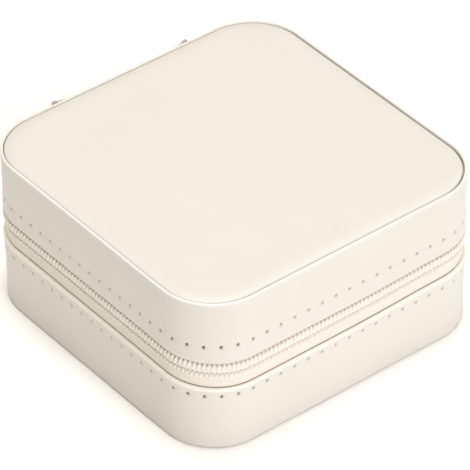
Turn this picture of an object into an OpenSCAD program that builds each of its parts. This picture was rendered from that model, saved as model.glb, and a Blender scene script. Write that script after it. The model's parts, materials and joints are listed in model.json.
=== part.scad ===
// Square travel jewelry box: a boarded base and lid covered in leatherette, joined by a sewn
// spine at the back and closed by a coil zip, with a velvet-lined inside.
// Origin: centre of the face it stands on. +Z up, -Y front, +Y hinge side.

/* [Box] */
// Width of the closed box, left to right
box_w = 100; // [84:1:160]
// Depth of the closed box, front to hinge
box_d = 100; // [84:1:160]
// Height of the closed box
box_h = 49.6; // [44:0.2:90]
// Radius of the upright corners
corner_r = 17; // [12:0.5:24]
// Height of the base's side band
base_band_h = 21.5; // [18:0.5:30]
// Height of the open strip between the two side bands
zip_gap_h = 9.5; // [9:0.1:14]
// Height of the zip's centre line above the base's side band
zip_rise = 6.5; // [5.5:0.1:8]

/* [Walls] */
// Thickness of the leatherette with its turned edge
cover_t = 1; // [0.6:0.1:1.4]
// Depth of the board in the walls
board_t = 3.2; // [2.6:0.1:5]
// Thickness of the velvet lining
lining_t = 0.8; // [0.4:0.1:1.2]
// Thickness of the floor board and of the lid's board
plate_t = 2; // [1.5:0.1:4]
// Thickness of the cover under the base
bottom_cover_t = 0.8; // [0.4:0.1:1.2]
// Thickness of the foam under the lid's top cover
pad_t = 0.9; // [0.5:0.1:3]
// Thickness of the lid's top cover
top_cover_t = 0.7; // [0.4:0.1:1.2]
// Seam between the lid's side band and its top cover
seam_gap = 0.3; // [0.2:0.05:0.6]
// How far the lid's side band stays below the top cover
lip_drop = 0.2; // [0:0.05:0.6]
// Gap between the lined rims of the base and the lid
rim_gap = 0.8; // [0.4:0.1:1.5]
// Thickness of the lining where it folds over a rim
rim_t = 0.6; // [0.4:0.1:1]

/* [Stitching] */
// Distance from one stitch to the next
stitch_pitch = 4.6; // [3:0.1:6]
// Length of thread that shows in a stitch
stitch_len = 3.2; // [2:0.1:4]
// Thickness of the thread
thread_t = 0.35; // [0.2:0.05:0.6]
// Distance of the lid's row from its band's lower edge
lid_row = 3.8; // [2.5:0.1:6]
// Distance of the base's row from its band's upper edge
base_row = 3.4; // [2.5:0.1:6]

/* [Zip] */
// Thickness of the zip's tape
tape_t = 0.6; // [0.4:0.05:0.8]
// How far each tape runs behind its side band
tape_tuck = 7; // [5:0.5:9]
// Width of one coil
coil_w = 1.1; // [0.9:0.05:1.6]
// How far a coil stands out from its tape
coil_h = 0.9; // [0.6:0.05:1]
// Half of the gap between the two coils
coil_gap = 0.3; // [0.25:0.05:0.5]
// Length of the slider
slider_len = 8; // [7:0.5:10]
// Width of the slider
slider_w = 5.6; // [5:0.1:6]
// Distance of the closed slider's middle from the box's middle, towards the hinge
slider_y = 24; // [20:0.5:26]
// How far the slider runs along the straight side
slider_travel = 50; // [20:1:50]
// Length of the pull
pull_len = 12.6; // [10:0.2:16]

/* [Spine] */
// Width of the strip that joins lid and base at the back
spine_w = 47; // [36:1:60]
// Thickness of the strip
spine_t = 1.2; // [0.8:0.1:1.5]
// Height of the strip left bare on either side of the fold
fold_h = 2; // [1.9:0.1:3]

/* [Inside] */
// Number of ring rolls
ring_rolls = 7; // [7:1:7]
// Height of the ring rolls
roll_h = 16; // [12:0.5:18]
// Place of the fixed partition, left of the middle
partition_x = 0; // [-8:0.5:8]
// Thickness of the fixed partition
partition_t = 2.4; // [1.6:0.1:4]
// Height of the partition
partition_h = 18; // [14:0.5:20]
// Thickness of a removable divider
divider_t = 1.8; // [1.2:0.1:3]
// Height of a removable divider
divider_h = 16; // [12:0.5:18]
// Distance of each divider from the box's middle
divider_y = 15; // [10:0.5:20]
// Width and depth of a guide rib
rib_w = 1.6; // [1.2:0.1:2.4]
// Clearance round a removable divider
divider_clear = 0.25; // [0.15:0.05:0.5]

/* [Lid fittings] */
// Length of a necklace strap
strap_len = 16; // [12:0.5:18]
// Width of a necklace strap
strap_w = 7; // [6:0.5:10]
// Thickness of a necklace strap
strap_t = 0.9; // [0.6:0.1:1.4]
// Distance between necklace straps
strap_pitch = 25; // [18:0.5:30]
// Distance of the straps' fold from the front
strap_inset = 12; // [10:0.5:16]
// Radius of a press stud's cap
cap_r = 2.8; // [2.2:0.1:3]
// Depth of the elastic pocket below the lid's lining
pocket_h = 6; // [5.6:0.1:7]
// Thickness of the pocket's cloth
cloth_t = 0.8; // [0.5:0.1:1]
// Distance of the pocket's mouth behind the box's middle
mouth_y = 2; // [0:0.5:10]

/* [Hidden] */
$fn = 96;

// Depths from the outer face of the walls
tape_in = cover_t + tape_t;
wall_in = cover_t + board_t;
wall_t = wall_in + lining_t;
plate_clear = 0.25;
slider_plate_t = 0.75;
channel_in = tape_in + 2 * plate_clear + slider_plate_t + 0.05;
panel_in = cover_t + seam_gap;

// Heights
zip_z = base_band_h + zip_rise;
lid_z0 = base_band_h + zip_gap_h;
base_tape_z = base_band_h - tape_tuck;
lid_tape_z = lid_z0 + tape_tuck;
channel_h = slider_w / 2 + 1.2;
base_rim_z = zip_z - rim_gap / 2;
lid_rim_z = zip_z + rim_gap / 2;
plate_z = bottom_cover_t + plate_t;
floor_z = plate_z + lining_t;
lid_plate_z = box_h - top_cover_t - pad_t - plate_t;
ceiling_z = lid_plate_z - lining_t;
band_lift = 0.3;

// Stitch path round the outline
run_w = box_w - 2 * corner_r;
run_d = box_d - 2 * corner_r;
arc_l = PI * corner_r / 2;
half_path = run_w + run_d + 2 * arc_l;
stitch_count = round(2 * half_path / stitch_pitch);

// Zip slider
stop_l = 1.5;
stop_clear = 0.2;
coil_end_y = slider_y + slider_len / 2 + 0.6;
coil_clear = 0.6;
spine_clear = 2.5;
coil_start_x = -(spine_w / 2 + spine_clear);
lip_t = 0.5;
lip_clear = 0.2;
slider_out = 0.15;
slider_face = slider_out + 0.8;
bar_u = 2.5;
bar_t = 0.8;
bar_h = 1;
wire_r = 0.3;
loop_r = 1.1;
loop_run = 3;
eye_r = 0.75;
tab_t = 1;
tab_end_r = 2.2;

// Inside
roll_gap = 0.4;
roll_clear = 0.3;
inner_d = box_d - 2 * wall_t;
roll_pitch = (inner_d - 2 * roll_clear) / ring_rolls;
divider_x0 = partition_x + partition_t / 2;
divider_x1 = box_w / 2 - wall_t;
divider_lift = 0.1;
guide_h = divider_h - 2;

// Lid fittings
strap_gap = 0.9;
post_r = 1.2;
post_h = 0.6;
cap_t = 0.6;
anchor_l = 2;
anchor_clear = 0.35;
strap_y = -box_d / 2 + strap_inset;
strap_z = ceiling_z - strap_gap - strap_t / 2;
stud_y = strap_y + strap_len - strap_w / 2;
pocket_in = wall_t + 1;
elastic_w = 1.5;
elastic_t = 1.4;

leatherette = "#f6ede3";
board_grey = "#b9ad9a";
velvet = "#e9ddcf";
foam = "#efe9dc";
tape_cream = "#e9ded0";
nylon = "#f4ece0";
thread = "#fbf4ea";
metal = "#cfcac2";

// Plan outline of the box, moved in by an inset
module outline(inset = 0) {
    w = box_w - 2 * inset;
    d = box_d - 2 * inset;
    r = corner_r - inset;
    square([w - 2 * r, d], center = true);
    square([w, d - 2 * r], center = true);
    for (x = [-1, 1], y = [-1, 1])
        translate([x * (w / 2 - r), y * (d / 2 - r)]) circle(r = r);
}

module slab(inset, z0, z1)
    translate([0, 0, z0]) linear_extrude(z1 - z0) outline(inset);

module ring(outer, inner, z0, z1)
    translate([0, 0, z0]) linear_extrude(z1 - z0)
        difference() {
            outline(outer);
            outline(inner);
        }

// Extrudes an outline drawn in (y, z) from one x to another
module along_x(x0, x1)
    translate([x0, 0, 0]) rotate([90, 0, 90]) linear_extrude(x1 - x0) children();

// Place and heading at a distance round the outline, from the middle of the front's left end
function arc_at(cx, cy, turn) =
    [cx + corner_r * cos(turn), cy + corner_r * sin(turn), turn + 90];
function half_at(s) =
    s < run_w ? [s - run_w / 2, -box_d / 2, 0] :
    s < run_w + arc_l ? arc_at(run_w / 2, -run_d / 2, -90 + 90 * (s - run_w) / arc_l) :
    s < run_w + arc_l + run_d ? [box_w / 2, s - run_w - arc_l - run_d / 2, 90] :
    arc_at(run_w / 2, run_d / 2, 90 * (s - run_w - arc_l - run_d) / arc_l);
function path_at(s) =
    s < half_path ? half_at(s) : let (p = half_at(s - half_path)) [-p.x, -p.y, p.z + 180];

// A row of stitches on the side band, left out under the spine
module stitch_row(z)
    for (i = [0 : stitch_count - 1]) {
        p = path_at((i + 0.5) * 2 * half_path / stitch_count);
        if (p.y < run_d / 2 || abs(p.x) > spine_w / 2 + stitch_len / 2)
            translate([p.x, p.y, z]) rotate(p.z)
                translate([-stitch_len / 2, -thread_t, -thread_t / 2])
                    cube([stitch_len, thread_t, thread_t]);
    }

// The coil follows three sides, from beside the spine to the closed slider
module coil(z, end_y)
    translate([0, 0, z]) linear_extrude(coil_w)
        difference() {
            outline(cover_t - coil_h);
            outline(cover_t);
            translate([coil_start_x, end_y]) square([box_w, box_d]);
        }

// Clips that end the zip, one at either end of the coil
module zip_stops(z)
    translate([0, 0, z]) {
        translate([box_w / 2 - cover_t, coil_end_y + stop_clear, 0]) cube([coil_h, stop_l, coil_w]);
        translate([coil_start_x + stop_clear, box_d / 2 - cover_t, 0]) cube([stop_l, coil_h, coil_w]);
    }

module at_slider()
    translate([box_w / 2, slider_y, zip_z]) children();

module base_bottom_cover()
    color(leatherette) slab(cover_t, 0, bottom_cover_t);

module floor_board()
    color(board_grey) slab(wall_in, bottom_cover_t, plate_z);

module base_frame()
    color(board_grey) {
        ring(cover_t, wall_in, bottom_cover_t, base_tape_z);
        ring(tape_in, wall_in, base_tape_z, zip_z - channel_h);
        ring(channel_in, wall_in, zip_z - channel_h, base_rim_z - rim_t);
    }

module base_side_band()
    color(leatherette) ring(0, cover_t, band_lift, base_band_h);

module base_lining()
    color(velvet) {
        slab(wall_in, plate_z, floor_z);
        ring(wall_in, wall_t, floor_z, base_rim_z - rim_t);
        ring(channel_in, wall_t, base_rim_z - rim_t, base_rim_z);
    }

module base_stitches()
    color(thread) stitch_row(base_band_h - base_row);

module lower_zip_tape()
    color(tape_cream) ring(cover_t, tape_in, base_tape_z, zip_z - coil_gap);

module lower_zip_coil()
    color(nylon) coil(zip_z - coil_gap - coil_w, coil_end_y);

module lower_zip_stops()
    color(metal) zip_stops(zip_z - coil_gap - coil_w);

module spine_lower_leaf()
    color(leatherette)
        translate([-spine_w / 2, box_d / 2, band_lift])
            cube([spine_w, spine_t, zip_z - fold_h - band_lift]);

module partition()
    color(velvet)
        translate([partition_x - partition_t / 2, -inner_d / 2, floor_z])
            cube([partition_t, inner_d, partition_h]);

// A ring roll is a foam strip with a round top, shaped to the rounded corners at its ends
module ring_roll(i) {
    roll_w = roll_pitch - roll_gap;
    color(foam)
        intersection() {
            slab(wall_t + roll_clear, 0, box_h);
            translate([0, -inner_d / 2 + roll_clear + (i - 0.5) * roll_pitch, 0])
                along_x(-box_w / 2, partition_x - partition_t / 2 - roll_clear) {
                    translate([-roll_w / 2, floor_z]) square([roll_w, roll_h - roll_w / 2]);
                    translate([0, floor_z + roll_h - roll_w / 2]) circle(r = roll_w / 2);
                }
        }
}

// Ribs that hold each removable divider at both ends
module divider_guides() {
    slot = divider_t / 2 + divider_clear;
    color(velvet)
        for (y = [-divider_y, divider_y], side = [-1, 1], x = [divider_x0, divider_x1 - rib_w])
            translate([x, y + side * (slot + rib_w / 2) - rib_w / 2, floor_z])
                cube([rib_w, rib_w, guide_h]);
}

module divider(y)
    color(velvet)
        translate([divider_x0 + divider_clear, y - divider_t / 2, floor_z + divider_lift])
            cube([divider_x1 - divider_x0 - 2 * divider_clear, divider_t, divider_h]);

module lid_frame()
    color(board_grey) {
        ring(channel_in, wall_in, lid_rim_z + rim_t, zip_z + channel_h);
        ring(tape_in, wall_in, zip_z + channel_h, lid_tape_z);
        ring(cover_t, wall_in, lid_tape_z, lid_plate_z);
    }

module lid_top_board()
    color(board_grey) slab(cover_t, lid_plate_z, lid_plate_z + plate_t);

module lid_pad()
    color(foam) slab(panel_in + top_cover_t, lid_plate_z + plate_t, box_h - top_cover_t);

module lid_top_cover()
    color(leatherette) {
        ring(panel_in, panel_in + top_cover_t, lid_plate_z + plate_t, box_h - top_cover_t);
        slab(panel_in, box_h - top_cover_t, box_h);
    }

module lid_side_band()
    color(leatherette) ring(0, cover_t, lid_z0, box_h - lip_drop);

module lid_lining()
    color(velvet) {
        slab(wall_in, ceiling_z, lid_plate_z);
        ring(wall_in, wall_t, lid_rim_z + rim_t, ceiling_z);
        ring(channel_in, wall_t, lid_rim_z, lid_rim_z + rim_t);
    }

module lid_stitches()
    color(thread) stitch_row(lid_z0 + lid_row);

module upper_zip_tape()
    color(tape_cream) ring(cover_t, tape_in, zip_z + coil_gap, lid_tape_z);

module upper_zip_coil()
    color(nylon) coil(zip_z + coil_gap, slider_y - slider_len / 2 - coil_clear);

module upper_zip_stops()
    color(metal) zip_stops(zip_z + coil_gap);

module spine_upper_leaf()
    color(leatherette)
        translate([-spine_w / 2, box_d / 2, zip_z + fold_h])
            cube([spine_w, spine_t, box_h - lip_drop - zip_z - fold_h]);

// Blocks that each necklace strap is sewn into
module strap_anchors()
    color(leatherette)
        for (i = [-1 : 1])
            translate([i * strap_pitch - strap_w / 2,
                       strap_y - strap_t / 2 - anchor_clear - anchor_l,
                       strap_z - strap_t / 2])
                cube([strap_w, anchor_l, ceiling_z - strap_z + strap_t / 2]);

module stud_posts()
    color(metal)
        for (i = [-1 : 1])
            translate([i * strap_pitch, stud_y, ceiling_z - post_h]) cylinder(r = post_r, h = post_h);

module necklace_strap(i)
    color(leatherette)
        translate([(i - 2) * strap_pitch, strap_y, strap_z]) {
            rotate([0, 90, 0]) cylinder(d = strap_t, h = strap_w, center = true);
            translate([0, 0, -strap_t / 2])
                linear_extrude(strap_t) {
                    translate([-strap_w / 2, 0]) square([strap_w, strap_len - strap_w / 2]);
                    translate([0, strap_len - strap_w / 2]) circle(d = strap_w);
                }
        }

module stud_cap(i)
    color(metal)
        translate([(i - 2) * strap_pitch, stud_y, strap_z - strap_t / 2 - cap_t])
            cylinder(r = cap_r, h = cap_t);

// Flat cloth pocket against the lid's lining, open towards the front
module pocket_plan(inset)
    intersection() {
        outline(pocket_in + inset);
        translate([-box_w / 2, mouth_y]) square([box_w, box_d]);
    }

module lid_pocket()
    color(velvet)
        difference() {
            translate([0, 0, ceiling_z - pocket_h]) linear_extrude(pocket_h) pocket_plan(0);
            translate([0, 0, ceiling_z - pocket_h + cloth_t])
                linear_extrude(pocket_h) {
                    pocket_plan(cloth_t);
                    translate([-box_w / 2 + pocket_in + cloth_t, mouth_y - cloth_t])
                        square([box_w - 2 * pocket_in - 2 * cloth_t, 2 * cloth_t]);
                }
        }

module pocket_elastic()
    color(leatherette)
        translate([-box_w / 2 + pocket_in, mouth_y - elastic_w, ceiling_z - pocket_h])
            cube([box_w - 2 * pocket_in, elastic_w, elastic_t]);

// Two plates joined by the post that parts the coils, with lips over the tapes and a bridge
// that the pull's loop hangs from
module zip_slider() {
    lip_z = slider_w / 2 - lip_t;
    lip_in = cover_t - lip_clear;
    plate_in = tape_in + plate_clear;
    end_r = 1.6;
    post_y = slider_len / 2 - 2.4;
    post_l = 1.6;
    post_t = 0.3;
    color(metal)
        at_slider() {
            along_x(slider_out, slider_face) {
                square([slider_len, slider_w - 2 * end_r], center = true);
                square([slider_len - 2 * end_r, slider_w], center = true);
                for (y = [-1, 1], z = [-1, 1])
                    translate([y * (slider_len / 2 - end_r), z * (slider_w / 2 - end_r)])
                        circle(r = end_r);
            }
            for (z = [-lip_z - lip_t, lip_z])
                translate([-lip_in, -slider_len / 2 + end_r, z])
                    cube([lip_in + slider_out, slider_len - 2 * end_r, lip_t]);
            translate([-plate_in - slider_plate_t, -slider_len / 2 + 1, -slider_w / 2])
                cube([slider_plate_t, slider_len - 2, slider_w]);
            translate([-plate_in - slider_plate_t, post_y, -post_t / 2])
                cube([plate_in + slider_plate_t + slider_face, post_l, post_t]);
            translate([0, 0, -bar_h / 2])
                linear_extrude(bar_h) {
                    translate([bar_u, 0]) square([bar_t, slider_len - 1.2], center = true);
                    for (side = [-1, 1])
                        translate([slider_face, side * (slider_len / 2 - 1) - bar_t / 2])
                            square([bar_u - slider_face, bar_t]);
                }
        }
}

// Wire loop round the bridge, hanging straight down
module pull_ring()
    color(metal)
        at_slider()
            translate([bar_u, 0, 0])
                rotate([90, 0, 0]) {
                    rotate_extrude(angle = 180) translate([loop_r, 0]) circle(r = wire_r, $fn = 32);
                    translate([0, -loop_run, 0]) rotate(180)
                        rotate_extrude(angle = 180) translate([loop_r, 0]) circle(r = wire_r, $fn = 32);
                    for (side = [-1, 1])
                        translate([side * loop_r, 0, 0]) rotate([90, 0, 0])
                            cylinder(r = wire_r, h = loop_run, $fn = 32);
                }

// Flat pull whose eye hangs on the loop's lower end
module pull_tab() {
    eye_z = -loop_run - loop_r;
    head_r = 2 * eye_r;
    end_z = eye_z - pull_len + tab_end_r;
    taper = 0.94;
    color(metal)
        at_slider()
            along_x(bar_u - tab_t / 2, bar_u + tab_t / 2)
                difference() {
                    union() {
                        translate([0, eye_z]) circle(r = head_r);
                        translate([0, end_z]) circle(r = tab_end_r);
                        polygon([[-head_r * taper, eye_z], [-tab_end_r * taper, end_z],
                                 [tab_end_r * taper, end_z], [head_r * taper, eye_z]]);
                    }
                    translate([0, eye_z]) circle(r = eye_r);
                }
}

base_bottom_cover();
floor_board();
base_frame();
base_side_band();
base_lining();
base_stitches();
lower_zip_tape();
lower_zip_coil();
lower_zip_stops();
spine_lower_leaf();
partition();
ring_roll(1);  // ring_roll_1
ring_roll(2);  // ring_roll_2
ring_roll(3);  // ring_roll_3
ring_roll(4);  // ring_roll_4
ring_roll(5);  // ring_roll_5
ring_roll(6);  // ring_roll_6
ring_roll(7);  // ring_roll_7
divider_guides();
divider(-divider_y);  // front_divider
divider(divider_y);  // rear_divider
lid_frame();
lid_top_board();
lid_pad();
lid_top_cover();
lid_side_band();
lid_lining();
lid_stitches();
upper_zip_tape();
upper_zip_coil();
upper_zip_stops();
spine_upper_leaf();
strap_anchors();
stud_posts();
necklace_strap(1);  // necklace_strap_1
necklace_strap(2);  // necklace_strap_2
necklace_strap(3);  // necklace_strap_3
stud_cap(1);  // stud_cap_1
stud_cap(2);  // stud_cap_2
stud_cap(3);  // stud_cap_3
lid_pocket();
pocket_elastic();
zip_slider();
pull_ring();
pull_tab();
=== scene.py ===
import json
import math
import bmesh
import bpy
from mathutils import Matrix, Vector, noise


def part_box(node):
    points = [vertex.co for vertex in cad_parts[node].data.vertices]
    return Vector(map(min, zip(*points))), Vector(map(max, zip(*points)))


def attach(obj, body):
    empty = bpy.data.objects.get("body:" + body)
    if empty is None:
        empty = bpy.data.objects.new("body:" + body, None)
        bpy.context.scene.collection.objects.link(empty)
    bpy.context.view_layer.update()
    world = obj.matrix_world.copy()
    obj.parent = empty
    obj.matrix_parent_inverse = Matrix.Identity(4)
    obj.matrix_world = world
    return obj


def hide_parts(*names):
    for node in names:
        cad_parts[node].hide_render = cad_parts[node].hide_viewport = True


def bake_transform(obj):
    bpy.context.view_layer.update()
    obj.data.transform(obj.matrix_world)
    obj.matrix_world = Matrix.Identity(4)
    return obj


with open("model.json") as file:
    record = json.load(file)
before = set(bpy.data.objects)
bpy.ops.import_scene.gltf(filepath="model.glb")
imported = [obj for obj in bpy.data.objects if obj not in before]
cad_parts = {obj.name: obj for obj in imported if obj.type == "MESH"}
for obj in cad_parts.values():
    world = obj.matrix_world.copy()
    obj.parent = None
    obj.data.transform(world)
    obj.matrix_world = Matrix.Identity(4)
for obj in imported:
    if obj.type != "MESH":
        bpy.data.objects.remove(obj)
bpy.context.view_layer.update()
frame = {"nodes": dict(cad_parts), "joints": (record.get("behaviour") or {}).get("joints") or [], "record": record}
scene = bpy.context.scene
mm = 0.001

# The box's own measures come from the frame; the corner radius is the CAD's
bandLow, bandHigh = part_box("base_side_band")
halfW, halfD = bandHigh.x, bandHigh.y
lidBandLow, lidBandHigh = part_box("lid_side_band")
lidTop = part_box("lid_top_cover")[1].z
foldAt = next(j for j in frame["joints"] if j["name"] == "lid_fold")["pos_m"]
zipZ = foldAt[2]
cornerR = 17 * mm
runW, runD = 2 * (halfW - cornerR), 2 * (halfD - cornerR)
arcRun = math.pi * cornerR / 2
wholeRun = 2 * (runW + runD) + 4 * arcRun


camera = {
    "azimuth": -38.21,  # degrees, from the front towards the left
    "elevation": 38.50,
    "roll": -0.59,
    "distance": 1.1707,
    "lens": 327.6,
    "shift": (0.0029, -0.0153),
}


def placeCamera():
    a, e, r = (math.radians(camera[k]) for k in ("azimuth", "elevation", "roll"))
    back = Vector((math.sin(a) * math.cos(e), -math.cos(a) * math.cos(e), math.sin(e)))
    right = Vector((math.cos(a), math.sin(a), 0))
    up = back.cross(right)
    across = right * math.cos(r) + up * math.sin(r)
    upright = up * math.cos(r) - right * math.sin(r)
    data = bpy.data.cameras.new("camera")
    data.lens = camera["lens"]
    data.sensor_width = 36
    data.shift_x, data.shift_y = camera["shift"]
    data.clip_end = 50
    made = bpy.data.objects.new("camera", data)
    scene.collection.objects.link(made)
    place = Matrix((across, upright, back)).transposed().to_4x4()
    place.translation = Vector((0, 0, lidTop / 2)) + back * camera["distance"]
    made.matrix_world = place
    scene.camera = made


placeCamera()
print("camera placed")


def toLinear(code):  # "#rrggbb" in sRGB to a linear colour
    parts = [int(code[i:i + 2], 16) / 255 for i in (1, 3, 5)]
    return tuple(c / 12.92 if c <= 0.04045 else ((c + 0.055) / 1.055) ** 2.4 for c in parts) + (1.0,)


def feed(tree, node, inputs):  # links a socket, sets a number, and turns an sRGB code to a colour
    for name, value in inputs.items():
        if isinstance(value, bpy.types.NodeSocket):
            tree.links.new(value, node.inputs[name])
        else:
            node.inputs[name].default_value = toLinear(value) if isinstance(value, str) else value


def addNode(tree, kind, inputs, output, **settings):  # returns the socket that is wanted from the new node
    made = tree.nodes.new(kind)
    for name, value in settings.items():
        setattr(made, name, value)
    feed(tree, made, inputs)
    return made.outputs[output]


def startMaterial(name):
    made = bpy.data.materials.new(name)
    made.use_nodes = True
    return made, made.node_tree, made.node_tree.nodes["Principled BSDF"]


leatherLook = {
    "pale": "#d9d3cd",
    "deep": "#d5cfc8",
    "rim": "#f1ece3",  # painted highlight on the turned edges, standing in for the light they catch
    # painted shade in the needle holes, the top panel's seam and the spine's top ends
    "paintedShade": "#2c2622",
    "grain": 0.55 * mm,  # width of a pebble in the pressed grain
    "grainDepth": 0.012 * mm,
    "cloud": 14 * mm,  # size of the slow change in colour
    "rough": (0.36, 0.48),
}


def makeLeatherette():
    # PU leatherette: pressed fine grain under a clear top coat, so it is cream, nearly smooth and softly shiny
    made, tree, shader = startMaterial("creamLeatherette")
    look = leatherLook
    place = addNode(tree, "ShaderNodeTexCoord", {}, "Object")
    cloud = addNode(tree, "ShaderNodeTexNoise", {"Vector": place, "Scale": 1 / look["cloud"], "Detail": 3.0}, "Fac")
    colour = addNode(tree, "ShaderNodeMix", {0: cloud, 6: look["deep"], 7: look["pale"]}, 2, data_type="RGBA")
    # painted highlight along the turned top edges of the side bands
    rim = addNode(tree, "ShaderNodeAttribute", {}, "Fac", attribute_name="rim")
    highlighted = addNode(tree, "ShaderNodeMix", {0: rim, 6: colour, 7: look["rim"]}, 2, data_type="RGBA")
    # painted shade in needle holes, seams and the spine's ends
    paintedShade = addNode(tree, "ShaderNodeAttribute", {}, "Fac", attribute_name="paintedShade")
    shaded = addNode(tree, "ShaderNodeMix", {0: paintedShade, 6: highlighted, 7: look["paintedShade"]}, 2, data_type="RGBA")
    pebble = addNode(tree, "ShaderNodeTexVoronoi", {"Vector": place, "Scale": 1 / look["grain"]}, "Distance",
                     feature="SMOOTH_F1")
    fine = addNode(tree, "ShaderNodeTexNoise", {"Vector": place, "Scale": 2 / look["grain"], "Detail": 4.0}, "Fac")
    under = addNode(tree, "ShaderNodeBump",
                    {"Height": pebble, "Distance": look["grainDepth"], "Strength": 0.8}, "Normal")
    skin = addNode(tree, "ShaderNodeBump",
                   {"Height": fine, "Distance": look["grainDepth"], "Strength": 0.5, "Normal": under}, "Normal")
    low, high = look["rough"]
    rough = addNode(tree, "ShaderNodeMapRange", {"Value": cloud, "To Min": low, "To Max": high}, "Result")
    feed(tree, shader, {"Base Color": shaded, "Roughness": rough, "IOR": 1.48, "Normal": skin})
    return made


velvetLook = {
    "pale": "#dad0c0",
    "deep": "#cec2b0",
    "pile": 0.35 * mm,  # drawn coarser than real pile so that it shows
    "pileDepth": 0.12 * mm,
    "brush": 9 * mm,  # size of the patches where the pile lies another way
}


def makeVelvet():
    # short-pile velvet: upright fibres, so it is matt with a pale sheen where it turns away
    made, tree, shader = startMaterial("creamVelvet")
    look = velvetLook
    place = addNode(tree, "ShaderNodeTexCoord", {}, "Object")
    brush = addNode(tree, "ShaderNodeTexNoise", {"Vector": place, "Scale": 1 / look["brush"], "Detail": 2.0}, "Fac")
    pile = addNode(tree, "ShaderNodeTexNoise", {"Vector": place, "Scale": 1 / look["pile"], "Detail": 3.0}, "Fac")
    both = addNode(tree, "ShaderNodeMix", {0: 0.35, 2: brush, 3: pile}, 0)
    spread = addNode(tree, "ShaderNodeMapRange", {"Value": both, "From Min": 0.3, "From Max": 0.7}, "Result")
    colour = addNode(tree, "ShaderNodeMix", {0: spread, 6: look["deep"], 7: look["pale"]}, 2, data_type="RGBA")
    nap = addNode(tree, "ShaderNodeBump",
                  {"Height": pile, "Distance": look["pileDepth"], "Strength": 0.8}, "Normal")
    feed(tree, shader, {"Base Color": colour, "Roughness": 0.95, "Sheen Weight": 0.55, "Sheen Roughness": 0.4,
                        "Normal": nap})
    return made


tapeLook = {
    "pale": "#ebe5dc",
    "deep": "#ded7cd",
    # painted shade in the pits, along the coil's edge and where the tape goes under a side band
    "pitShade": "#a8957c",
    "thread": 0.62 * mm,  # spacing of the weave's ribs, drawn a little coarse
    "threadDepth": 0.08 * mm,
    "closer": 1.3,  # how much closer the ribs lie the other way
}
waveScale = 2 * math.pi / 20  # a Wave texture of this scale has one band in each metre


def makeZipTape():
    # woven polyester tape: fine ribs along and across, so it is matt
    made, tree, shader = startMaterial("wovenZipTape")
    look = tapeLook
    run = addNode(tree, "ShaderNodeUVMap", {}, "UV", uv_map="run")
    period = waveScale / look["thread"]
    across = addNode(tree, "ShaderNodeTexWave", {"Vector": run, "Scale": period}, "Fac", bands_direction="X")
    along = addNode(tree, "ShaderNodeTexWave", {"Vector": run, "Scale": period * look["closer"]}, "Fac",
                    bands_direction="Y")
    weave = addNode(tree, "ShaderNodeMath", {0: across, 1: along}, 0, operation="MULTIPLY")
    colour = addNode(tree, "ShaderNodeMix", {0: weave, 6: look["deep"], 7: look["pale"]}, 2, data_type="RGBA")
    # painted shade in the pits, the ditch and under the side bands
    pitShade = addNode(tree, "ShaderNodeAttribute", {}, "Fac", attribute_name="paintedShade")
    pitShaded = addNode(tree, "ShaderNodeMix", {0: pitShade, 6: colour, 7: look["pitShade"]}, 2, data_type="RGBA")
    ribs = addNode(tree, "ShaderNodeBump",
                   {"Height": weave, "Distance": look["threadDepth"], "Strength": 0.8}, "Normal")
    feed(tree, shader, {"Base Color": pitShaded, "Roughness": 0.85, "Sheen Weight": 0.2, "Normal": ribs})
    return made


nylonLook = {"deep": "#e1dad1", "pale": "#ebe5dd", "cloud": 3 * mm}


def makeNylon():
    # nylon monofilament: drawn and set in a coil, so it is smooth, near white and faintly glossy
    made, tree, shader = startMaterial("nylonCoil")
    place = addNode(tree, "ShaderNodeTexCoord", {}, "Object")
    cloud = addNode(tree, "ShaderNodeTexNoise", {"Vector": place, "Scale": 1 / nylonLook["cloud"]}, "Fac")
    colour = addNode(tree, "ShaderNodeMix", {0: cloud, 6: nylonLook["deep"], 7: nylonLook["pale"]}, 2,
                     data_type="RGBA")
    feed(tree, shader, {"Base Color": colour, "Roughness": 0.5, "IOR": 1.53})
    return made


threadLook = {"deep": "#ded8d0", "pale": "#e6e0d9", "ply": 0.25 * mm, "plyDepth": 0.04 * mm}


def makeThread():
    # polyester sewing thread: three twisted plies, so it has fine slanting ridges and a faint gloss
    made, tree, shader = startMaterial("sewingThread")
    place = addNode(tree, "ShaderNodeTexCoord", {}, "Object")
    ply = addNode(tree, "ShaderNodeTexWave", {"Vector": place, "Scale": waveScale / threadLook["ply"]}, "Fac",
                  bands_direction="DIAGONAL")
    colour = addNode(tree, "ShaderNodeMix", {0: ply, 6: threadLook["deep"], 7: threadLook["pale"]}, 2,
                     data_type="RGBA")
    ridges = addNode(tree, "ShaderNodeBump",
                     {"Height": ply, "Distance": threadLook["plyDepth"], "Strength": 0.7}, "Normal")
    feed(tree, shader, {"Base Color": colour, "Roughness": 0.55, "Sheen Weight": 0.15, "Normal": ridges})
    return made


nickelLook = {"deep": "#c4c0b9", "pale": "#dedbd5", "hair": 0.3 * mm, "hairLong": 0.15, "rough": (0.14, 0.32)}


def makeNickel():
    # nickel-plated zinc: tumbled and plated, so it is bright with hairline scratches
    made, tree, shader = startMaterial("nickelPlate")
    place = addNode(tree, "ShaderNodeTexCoord", {}, "Object")
    stretched = addNode(tree, "ShaderNodeMapping", {"Vector": place, "Scale": (1.0, 1.0, nickelLook["hairLong"])},
                        "Vector")
    hair = addNode(tree, "ShaderNodeTexNoise",
                   {"Vector": stretched, "Scale": 1 / nickelLook["hair"], "Detail": 4.0}, "Fac")
    low, high = nickelLook["rough"]
    rough = addNode(tree, "ShaderNodeMapRange", {"Value": hair, "To Min": low, "To Max": high}, "Result")
    colour = addNode(tree, "ShaderNodeMix", {0: hair, 6: nickelLook["deep"], 7: nickelLook["pale"]}, 2,
                     data_type="RGBA")
    feed(tree, shader, {"Base Color": colour, "Metallic": 1.0, "Roughness": rough})
    return made


boardLook = {"deep": "#a89c89", "pale": "#c2b8a6", "fleck": 0.8 * mm, "fleckDepth": 0.05 * mm}


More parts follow.
